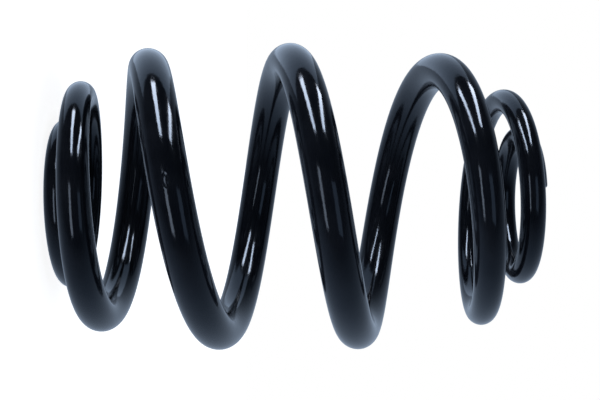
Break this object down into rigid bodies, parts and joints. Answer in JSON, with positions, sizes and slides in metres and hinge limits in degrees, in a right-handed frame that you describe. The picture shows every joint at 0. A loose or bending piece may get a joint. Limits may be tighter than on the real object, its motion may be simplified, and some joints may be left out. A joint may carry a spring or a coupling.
{
  "type": "coil spring",
  "caption": "Barrel-shaped suspension coil spring of tapered round wire with a small pigtail turn at each end, gloss black, right-hand wound.",
  "frame": {"origin": "on the spring's axis, in the plane that the lower pigtail rests on", "axes": "+Z along the spring's axis from the lower pigtail to the upper one; the wire's lower cut end lies close to +Y"},
  "size_m": [0.118, 0.1183, 0.185],
  "materials": {
    "coating": "gloss black powder coat"
  },
  "bodies": {
    "lower_seat": {"lower_seat_coil": "coating"},
    "stretch_01": {"coil_stretch_01": "coating"},
    "stretch_02": {"coil_stretch_02": "coating"},
    "stretch_03": {"coil_stretch_03": "coating"},
    "stretch_04": {"coil_stretch_04": "coating"},
    "stretch_05": {"coil_stretch_05": "coating"},
    "stretch_06": {"coil_stretch_06": "coating"},
    "stretch_07": {"coil_stretch_07": "coating"},
    "stretch_08": {"coil_stretch_08": "coating"},
    "stretch_09": {"coil_stretch_09": "coating"},
    "stretch_10": {"coil_stretch_10": "coating"},
    "stretch_11": {"coil_stretch_11": "coating"},
    "stretch_12": {"coil_stretch_12": "coating"},
    "stretch_13": {"coil_stretch_13": "coating"},
    "stretch_14": {"coil_stretch_14": "coating"},
    "stretch_15": {"coil_stretch_15": "coating"},
    "stretch_16": {"coil_stretch_16": "coating"},
    "stretch_17": {"coil_stretch_17": "coating"},
    "stretch_18": {"coil_stretch_18": "coating"},
    "stretch_19": {"coil_stretch_19": "coating"},
    "stretch_20": {"coil_stretch_20": "coating"},
    "upper_seat": {"upper_seat_coil": "coating"}
  },
  "joints": [
    {"name": "compression", "type": "slide", "parent": "lower_seat", "child": "upper_seat", "axis": [0, 0, -1], "range_m": [0, 0.092], "stiffness_N_per_m": 62000},
    {"name": "stretch_01_travel", "type": "slide", "parent": "lower_seat", "child": "stretch_01", "axis": [0, 0, -1], "range_m": [0, 0.000507]},
    {"name": "stretch_02_travel", "type": "slide", "parent": "lower_seat", "child": "stretch_02", "axis": [0, 0, -1], "range_m": [0, 0.00177]},
    {"name": "stretch_03_travel", "type": "slide", "parent": "lower_seat", "child": "stretch_03", "axis": [0, 0, -1], "range_m": [0, 0.00354]},
    {"name": "stretch_04_travel", "type": "slide", "parent": "lower_seat", "child": "stretch_04", "axis": [0, 0, -1], "range_m": [0, 0.00604]},
    {"name": "stretch_05_travel", "type": "slide", "parent": "lower_seat", "child": "stretch_05", "axis": [0, 0, -1], "range_m": [0, 0.00948]},
    {"name": "stretch_06_travel", "type": "slide", "parent": "lower_seat", "child": "stretch_06", "axis": [0, 0, -1], "range_m": [0, 0.01415]},
    {"name": "stretch_07_travel", "type": "slide", "parent": "lower_seat", "child": "stretch_07", "axis": [0, 0, -1], "range_m": [0, 0.02034]},
    {"name": "stretch_08_travel", "type": "slide", "parent": "lower_seat", "child": "stretch_08", "axis": [0, 0, -1], "range_m": [0, 0.02818]},
    {"name": "stretch_09_travel", "type": "slide", "parent": "lower_seat", "child": "stretch_09", "axis": [0, 0, -1], "range_m": [0, 0.03557]},
    {"name": "stretch_10_travel", "type": "slide", "parent": "lower_seat", "child": "stretch_10", "axis": [0, 0, -1], "range_m": [0, 0.04135]},
    {"name": "stretch_11_travel", "type": "slide", "parent": "lower_seat", "child": "stretch_11", "axis": [0, 0, -1], "range_m": [0, 0.04657]},
    {"name": "stretch_12_travel", "type": "slide", "parent": "lower_seat", "child": "stretch_12", "axis": [0, 0, -1], "range_m": [0, 0.05325]},
    {"name": "stretch_13_travel", "type": "slide", "parent": "lower_seat", "child": "stretch_13", "axis": [0, 0, -1], "range_m": [0, 0.06167]},
    {"name": "stretch_14_travel", "type": "slide", "parent": "lower_seat", "child": "stretch_14", "axis": [0, 0, -1], "range_m": [0, 0.06953]},
    {"name": "stretch_15_travel", "type": "slide", "parent": "lower_seat", "child": "stretch_15", "axis": [0, 0, -1], "range_m": [0, 0.07578]},
    {"name": "stretch_16_travel", "type": "slide", "parent": "lower_seat", "child": "stretch_16", "axis": [0, 0, -1], "range_m": [0, 0.08069]},
    {"name": "stretch_17_travel", "type": "slide", "parent": "lower_seat", "child": "stretch_17", "axis": [0, 0, -1], "range_m": [0, 0.08446]},
    {"name": "stretch_18_travel", "type": "slide", "parent": "lower_seat", "child": "stretch_18", "axis": [0, 0, -1], "range_m": [0, 0.08734]},
    {"name": "stretch_19_travel", "type": "slide", "parent": "lower_seat", "child": "stretch_19", "axis": [0, 0, -1], "range_m": [0, 0.08954]},
    {"name": "stretch_20_travel", "type": "slide", "parent": "lower_seat", "child": "stretch_20", "axis": [0, 0, -1], "range_m": [0, 0.09126]}
  ],
  "couplings": [
    {"joint": "stretch_01_travel", "follows": "compression", "ratio": 0.0055},
    {"joint": "stretch_02_travel", "follows": "compression", "ratio": 0.0192},
    {"joint": "stretch_03_travel", "follows": "compression", "ratio": 0.0385},
    {"joint": "stretch_04_travel", "follows": "compression", "ratio": 0.0656},
    {"joint": "stretch_05_travel", "follows": "compression", "ratio": 0.103},
    {"joint": "stretch_06_travel", "follows": "compression", "ratio": 0.1538},
    {"joint": "stretch_07_travel", "follows": "compression", "ratio": 0.2211},
    {"joint": "stretch_08_travel", "follows": "compression", "ratio": 0.3063},
    {"joint": "stretch_09_travel", "follows": "compression", "ratio": 0.3866},
    {"joint": "stretch_10_travel", "follows": "compression", "ratio": 0.4494},
    {"joint": "stretch_11_travel", "follows": "compression", "ratio": 0.5062},
    {"joint": "stretch_12_travel", "follows": "compression", "ratio": 0.5788},
    {"joint": "stretch_13_travel", "follows": "compression", "ratio": 0.6703},
    {"joint": "stretch_14_travel", "follows": "compression", "ratio": 0.7557},
    {"joint": "stretch_15_travel", "follows": "compression", "ratio": 0.8237},
    {"joint": "stretch_16_travel", "follows": "compression", "ratio": 0.877},
    {"joint": "stretch_17_travel", "follows": "compression", "ratio": 0.918},
    {"joint": "stretch_18_travel", "follows": "compression", "ratio": 0.9493},
    {"joint": "stretch_19_travel", "follows": "compression", "ratio": 0.9732},
    {"joint": "stretch_20_travel", "follows": "compression", "ratio": 0.9919}
  ]
}
